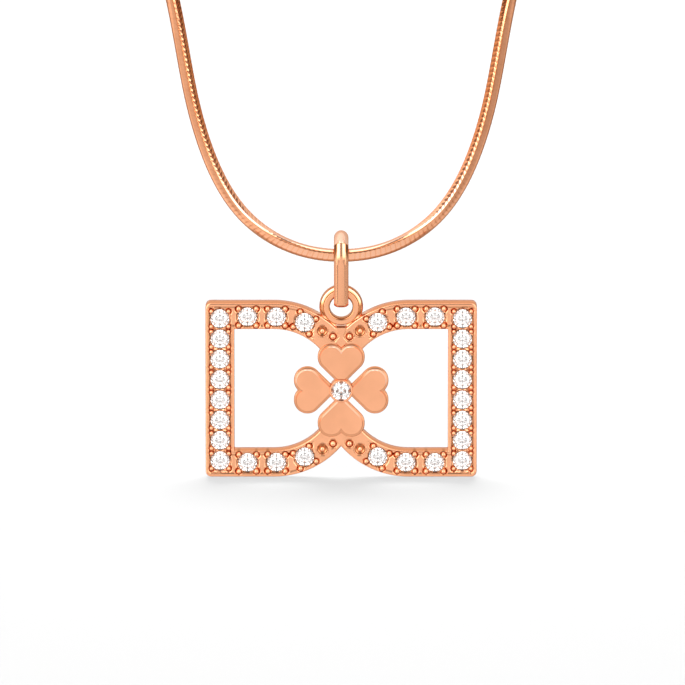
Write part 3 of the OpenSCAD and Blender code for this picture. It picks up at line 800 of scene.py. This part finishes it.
lobe_r = 1.09 * mm
lobe_x = 0.8 * mm
lobe_z = 2.7 * mm
heart_gap = 0.5 * mm
heart_face = wing_front - 0.25 * mm
heart_back = heart_face + 0.7 * mm
rim_steps = mm * np.array([
    # how far each ring lies inside the outline, and how far behind the face
    [0.05, 0.70], [0, 0.65], [0, 0.17], [0.008, 0.13], [0.03, 0.108], [0.06, 0.1], [0.165, 0.1],
    [0.175, 0.09], [0.195, 0.015], [0.215, 0.0], [0.24, 0.0],
])
rim_outer, rim_inner = 2, 6
# painted shade on each ring of the rim, and a painted highlight where the rim faces up
rim_shades = np.array([0, 0, 0, 0.7, 0.6, 0.3, 0.3, 0.6, 0.3, 0, 0])
rim_glints = np.array([0, 0, 0, 0, 0, 0, 0.8, 1.5, 1.3, 1, 0])
heart_gold = gold_material("heart gold", 0.14, 2.5 * mm, 1.6 * mm, 0.0008 * mm)


def heart_line(inset):
    """Outline of a heart with its point at the middle: two arcs about the lobes' centres, from the cleft
    round to the straight sides at 45 degrees, and the point. An inset takes its size off the arcs' radius
    and off the sides."""
    r = lobe_r - inset
    cleft = acos(-lobe_x / r)
    turn = np.linspace(cleft, -pi / 4, 40)
    lobe = np.stack([lobe_x + r * np.cos(turn), lobe_z + r * np.sin(turn)], -1)
    tip = [[0, (heart_gap / 2 + inset) * sqrt(2)]]
    side = lobe[-1:] + (np.array(tip) - lobe[-1:]) * np.linspace(0, 1, 14)[1:-1, None]
    right = np.vstack([lobe, side, tip])
    return np.vstack([right, (right * [-1, 1])[-2:0:-1]])


def heart_shell():
    """The outline carried through the rim's steps, each an inset and a depth, with the back before them and
    the face after them closed towards a point on the heart's middle line."""
    rings = [np.insert(heart_line(inset), 1, heart_face + depth, axis=1) for inset, depth in rim_steps]
    back, face = (0 * rings[0] + [0, depth, 0.8 * lobe_z] for depth in (heart_back, heart_face))
    rings = np.array([back, *rings, face])
    return rings, grid_faces(len(rings), rings.shape[1], wrap_columns=True)


def heart_shade(rim):
    """Painted shade: a deeper gold in the rim's steps. Painted highlight: where the rim faces up, by the
    height of the direction from its inner to its outer edge, its inner step is painted paler, as if it caught
    the light instead."""
    upward = smooth_step(unit(rim[rim_outer] - rim[rim_inner])[:, 2], 0.35, 0.75)
    shade = np.clip(rim_shades[:, None] - rim_glints[:, None] * upward, -1, 1)
    return np.pad(shade, [(1, 1), (0, 0)])


rings, heart_faces = heart_shell()
for quarter, name in enumerate(["top", "right", "low", "left"]):
    turn = quarter * pi / 2
    x, y, z = rings[..., 0], rings[..., 1], rings[..., 2]
    heart = np.stack([x * cos(turn) + z * sin(turn), y, z * cos(turn) - x * sin(turn)], -1)
    pendant_piece(f"heart_{name}", heart_gold, heart, [heart_faces], 25, heart_shade(heart[1:-1]))

# The bezel: a turned rose-gold collar round the middle stone, rubbed over its edge, soldered to the four
# hearts and bored through to the back.

bezel_r = 0.94 * mm
bezel_front = heart_face - 0.17 * mm
collar = rounded([
    [hole_r, 0, 0.02 * mm], [hole_r, heart_face + 0.42 * mm, 0.02 * mm],
    [0.79 * mm, heart_face + 0.04 * mm, 0.02 * mm],
    [0.775 * mm, bezel_front + 0.05 * mm, 0.02 * mm], [0.8 * mm, bezel_front, 0.015 * mm],
    [bezel_r - 0.03 * mm, bezel_front, 0.02 * mm], [bezel_r, bezel_front + 0.05 * mm, 0.02 * mm],
    [bezel_r, heart_face + 0.5 * mm, 0.1 * mm], [bezel_r, 0, 0.05 * mm],
])
points, faces = turned(collar, 64)
pendant_piece("bezel", polished_gold, points[..., [0, 2, 1]], [faces], 50)

# The loop on top of the pendant: a rose-gold ring with a rounded rib round its hole and a flange outside it.
# A small block joins it to the wings, and a narrow web, level with their fronts, fills the notch between
# them. All of it is soldered.

loop_r = 1.75 * mm
rib_r = 1.42 * mm
flange_foot_r = 1.44 * mm
rib_half = 0.55 * mm
flange_half = 0.4 * mm
ring_section = rounded([
    [loop_hole_r, -rib_half, 0.15 * mm], [rib_r, -rib_half, 0.08 * mm],
    [flange_foot_r, -flange_half, 0.02 * mm], [1.64 * mm, -flange_half + 0.07 * mm, 0.02 * mm],
    [loop_r - 0.05 * mm, -flange_half + 0.13 * mm, 0.02 * mm],
    [loop_r, -flange_half + 0.2 * mm, 0.03 * mm], [loop_r, flange_half, 0.13 * mm],
    [flange_foot_r, flange_half, 0.03 * mm], [rib_r, rib_half, 0.08 * mm], [loop_hole_r, rib_half, 0.15 * mm],
], 7)


def loop_shade(r, across, rise):
    """Painted shade: a deeper gold round the hole, at the foot of the rib, on the rim, and in a patch to
    either side.
    Painted highlight: a paler gold high on the flange, next to the rib, and low on it, where loop and wings
    mirror each other."""
    shade = 1 - smooth_step(r, loop_hole_r + 0.08 * mm, loop_hole_r + 0.16 * mm)
    shade = np.maximum(shade, 1 - smooth_step(np.abs(r - rib_r), 0.03 * mm, 0.07 * mm))
    shade = np.maximum(shade, 0.7 * smooth_step(r, loop_r - 0.1 * mm, loop_r - 0.05 * mm))
    patch = 1 - smooth_step(np.abs(rise + 0.1 * mm), 0.35 * mm, 0.65 * mm)
    shade = np.maximum(shade, patch * smooth_step(r, 1.5 * mm, 1.58 * mm) * (np.abs(across) > mm))
    flange = smooth_step(r, 1.45 * mm, 1.5 * mm)
    high = (1 - smooth_step(r, 1.6 * mm, 1.66 * mm)) * smooth_step(rise, 0.2 * mm, 0.6 * mm)
    low = 1 - smooth_step(rise, -1.0 * mm, -0.3 * mm)
    return shade - 0.6 * flange * high - 0.9 * flange * low


points, faces = turned(ring_section, 96)
painted_shading = loop_shade(np.hypot(points[..., 0], points[..., 1]), points[..., 0], points[..., 1])
pendant_piece("loop", polished_gold, points[..., [0, 2, 1]], [faces], 50, painted_shading, loop_centre)


def rounded_block(low, high, r):
    """A box with rounded edges: a cube's surface grid has lines only near its edges. Its points are spread
    over one radius next to the box's edges, pulled in to the inner box, and pushed out again by the radius,
    straight away from it."""
    edge_share = 0.15
    line = edge_share * np.linspace(0, 1, 5)
    line = np.unique(np.concatenate([line, 1 - line]))
    a, b = np.meshgrid(line, line, indexing="ij")
    sides = []
    for axis in range(3):
        for end in (0, 1):
            side = np.zeros(a.shape + (3,))
            side[..., axis] = end
            side[..., (axis + 1) % 3] = a
            side[..., (axis + 2) % 3] = b
            sides.append(side)
    cube = np.array(sides)
    place = np.where(cube < 0.5, low + cube / edge_share * r, high - (1 - cube) / edge_share * r)
    core = np.clip(place, low + r, high - r)
    place = core + r * unit(place - core)
    face = grid_faces(len(line), len(line))
    faces = face[None] + (len(line) ** 2 * np.arange(6))[:, None, None]
    return place, faces.reshape(-1, 4)


web_heights = mm * np.array([3.44, 3.92, 4.35, 5.1])
web_halves = mm * np.array([0.0, 0.55, 0.2, 0.47])


def notch_web():
    """A narrow upright web, whose half width runs straight from each height of its table to the next. Each
    ring of points crosses the front, whose rim lies a little lower, and comes back behind. Seen from the
    front, the places across go by the sine of a turn."""
    stretches = zip(web_heights[:-1], web_heights[1:], (9, 9, 13))
    height = [np.linspace(low, high, steps, endpoint=False) for low, high, steps in stretches]
    height = np.concatenate([*height, web_heights[-1:]])
    half = np.interp(height, web_heights, web_halves)
    share = np.sin(np.radians(np.linspace(-90, 90, 15)))
    rim = half[:, None] * (1 - np.abs(share))
    front = wing_front - 0.05 * mm + 0.04 * mm * (1 - smooth_step(rim, 0.0, 0.06 * mm))
    across = half[:, None] * share
    x = np.hstack([across, across[:, ::-1]])
    y = np.hstack([front, wing_back - 0.02 * mm + 0 * front])
    z = height[:, None] + 0 * x
    # painted shade along the front's side edges
    marks = np.hstack([1 - smooth_step(rim, 0.01 * mm, 0.06 * mm), 0 * front])
    count = 2 * len(share)
    faces = grid_faces(len(height), count, wrap_columns=True)
    return np.stack([x, y, z], -1), [faces, np.arange(count)[None] + (len(height) - 1) * count], marks


points, faces, marks = notch_web()
pendant_piece("web", cast_gold, points, faces, 50, marks)
block = mm * np.array([[-0.45, -0.45, 5], [0.45, 0.45, 5.75]])
points, faces = rounded_block(*block, 0.08 * mm)
# painted highlight: the whole block is painted a paler gold, where it stands between loop and wings and gold
# mirrors gold
pendant_piece("loop_block", cast_gold, points, [faces], 50, np.full(points.shape[:-1], -0.6))

# The stones: round brilliant-cut diamonds, a table and a crown of facets over a pointed pavilion, set with
# their tables to the front.

diamond = plain_material("diamond", {
    "Base Color": (0.94, 0.89, 0.87, 1), "Roughness": 0.035, "IOR": 2.417, "Transmission Weight": 1,
})
for name, node in frame["nodes"].items():
    if name.startswith("stone_"):
        for slot in node.material_slots:
            slot.material = diamond
        node.visible_diffuse = False

# The studio: a plain pale floor just under the pendant, a soft lamp above and behind for the shadow, and a
# room of light that the metal and the stones reflect, bright in front and overhead and darker at the sides.

floor_gap = 0.25 * mm
floor_z = pendant_centre[2] - bowl_r - floor_gap
floor_half = 1.5


def floor_plane():
    """One matt square, which the gold doesn't mirror."""
    mesh = bpy.data.meshes.new("floor")
    corners = [(x * floor_half, y * floor_half, floor_z) for x, y in [(-1, -1), (1, -1), (1, 1), (-1, 1)]]
    mesh.from_pydata(corners, [], [(0, 1, 2, 3)])
    mesh.materials.append(plain_material("pale floor", {
        "Base Color": (0.57, 0.57, 0.57, 1), "Roughness": 1, "Specular IOR Level": 0,
    }))
    floor = put_in_scene("floor", mesh)
    floor.visible_glossy = False


floor_plane()

plain_light = 1.12
past_the_end = 20
room = [
    # windows, cards and walls in degrees: turn from and to, height from and to, softness, and light
    [0, 180, 56, 100, 5, 1.3],
    [90, 180, 40, 100, 10, 1.25],
    [110, 180, -6, 40, 8, 0.95],
    [0, 180, -100, -15, 4, 1.05],
    [0, 180, -100, -66, 6, 0.75],
    [106, 180, -60, -4, 8, 0.55],
    [96, 118, -30, -4, 4, 0.5],
    [0, 9, -4, 54, 3, 0.4],
    [6, 60, 57, 66, 3, 3],
    [15, 50, -6, 44, 4, 3.4],
    [9, 60, 45, 54, 3, 0.4],
    [18, 43, -35, -16, 4, 0.5],
    [45, 56, -30, -5, 3, 4.5],
    [51, 57, -3, 54, 3, 0.35],
    [60, 86, -60, 50, 3, 0.8],
    [87, 99, -5, 40, 4, 0.25],
]


def light_room():
    """Light by direction. The turn is measured to either side from the front, the height from level, and each
    row of the table covers the plain light and the rows before it inside its range, with soft edges. A turn
    that begins in front or ends behind goes on past it, so that no soft edge shows there. The right side is a
    little darker."""
    world = bpy.data.worlds.new("studio")
    bpy.context.scene.world = world
    world.use_nodes = True
    nodes, links = world.node_tree.nodes, world.node_tree.links
    direction = nodes.new("ShaderNodeTexCoord")
    split = nodes.new("ShaderNodeSeparateXYZ")
    links.new(direction.outputs["Generated"], split.inputs[0])

    def feed(socket, value):
        """Joins a node's output to the socket, or sets a plain number on it."""
        if isinstance(value, bpy.types.NodeSocket):
            links.new(value, socket)
        else:
            socket.default_value = value

    def math(operation, a, b=0.0):
        node = nodes.new("ShaderNodeMath")
        node.operation = operation
        feed(node.inputs[0], a)
        feed(node.inputs[1], b)
        return node.outputs[0]

    def inside(value, low, high, soft):
        """1 inside the range and 0 outside it, by a smooth step of the distance from its middle."""
        falling = nodes.new("ShaderNodeMapRange")
        falling.interpolation_type = "SMOOTHSTEP"
        distance = math("ABSOLUTE", math("SUBTRACT", value, (low + high) / 2))
        half = (high - low) / 2
        for name, number in [
            ("Value", distance), ("From Min", half - soft / 2), ("From Max", half + soft / 2),
            ("To Min", 1), ("To Max", 0),
        ]:
            feed(falling.inputs[name], number)
        return falling.outputs[0]

    side = math("ABSOLUTE", split.outputs[0])
    front = math("MULTIPLY", split.outputs[1], -1.0)
    turn = math("MULTIPLY", math("ARCTAN2", side, front), 180 / pi)
    height = math("MULTIPLY", math("ARCSINE", split.outputs[2]), 180 / pi)
    light = plain_light
    for turn_low, turn_high, low, high, soft, value in room:
        if turn_low == 0:
            turn_low -= past_the_end
        if turn_high == 180:
            turn_high += past_the_end
        cover = math("MULTIPLY", inside(turn, turn_low, turn_high, soft), inside(height, low, high, soft))
        mix = nodes.new("ShaderNodeMix")
        feed(mix.inputs[0], cover)
        feed(mix.inputs[2], light)
        feed(mix.inputs[3], value)
        light = mix.outputs[0]
    light = math("MULTIPLY", light, math("SUBTRACT", 1.0, math("MULTIPLY", split.outputs[0], 0.2)))
    nodes["Background"].inputs["Color"].default_value = (1, 1, 1, 1)
    links.new(light, nodes["Background"].inputs["Strength"])


light_room()


def soft_light(name, place, size, power, aim):
    """A round soft lamp, its size in metres and its power in watts. Neither gold nor stones mirror it."""
    lamp = bpy.data.lights.new(name, "AREA")
    lamp.shape = "DISK"
    lamp.size = size
    lamp.energy = power
    light = put_in_scene(name, lamp)
    light.location = place
    light.rotation_euler = (Vector(aim) - Vector(place)).to_track_quat("-Z", "Y").to_euler()
    light.visible_glossy = False
    light.visible_transmission = False


soft_light("overhead", (0, 0.05, 0.285), 0.33, 1.15, pendant_centre)

# The camera stands in front and a little above, far off with a long lens, as for a catalogue picture.

photo_scale = 0.08 * mm
photo_size = 685
chain_pixel = (341.2, 255.4)
camera_lift = radians(11.5)
camera_distance = 0.9


def set_camera():
    """Aims the camera so that the chain's lowest point falls on its pixel of the photograph."""
    view = Vector((0, cos(camera_lift), -sin(camera_lift)))
    up = Vector((0, sin(camera_lift), cos(camera_lift)))
    right = Vector((1, 0, 0))
    across = (photo_size / 2 - chain_pixel[0]) * photo_scale
    down = (photo_size / 2 - chain_pixel[1]) * photo_scale
    target = Vector(chain_low) + right * across - up * down
    data = bpy.data.cameras.new("camera")
    data.sensor_width = 36
    data.lens = 36 * camera_distance / (photo_size * photo_scale)
    data.clip_start, data.clip_end = 0.01, 20
    camera = put_in_scene("camera", data)
    camera.location = target - view * camera_distance
    camera.rotation_euler = view.to_track_quat("-Z", "Y").to_euler()
    bpy.context.scene.camera = camera


set_camera()
bpy.context.scene.view_settings.view_transform = "Standard"
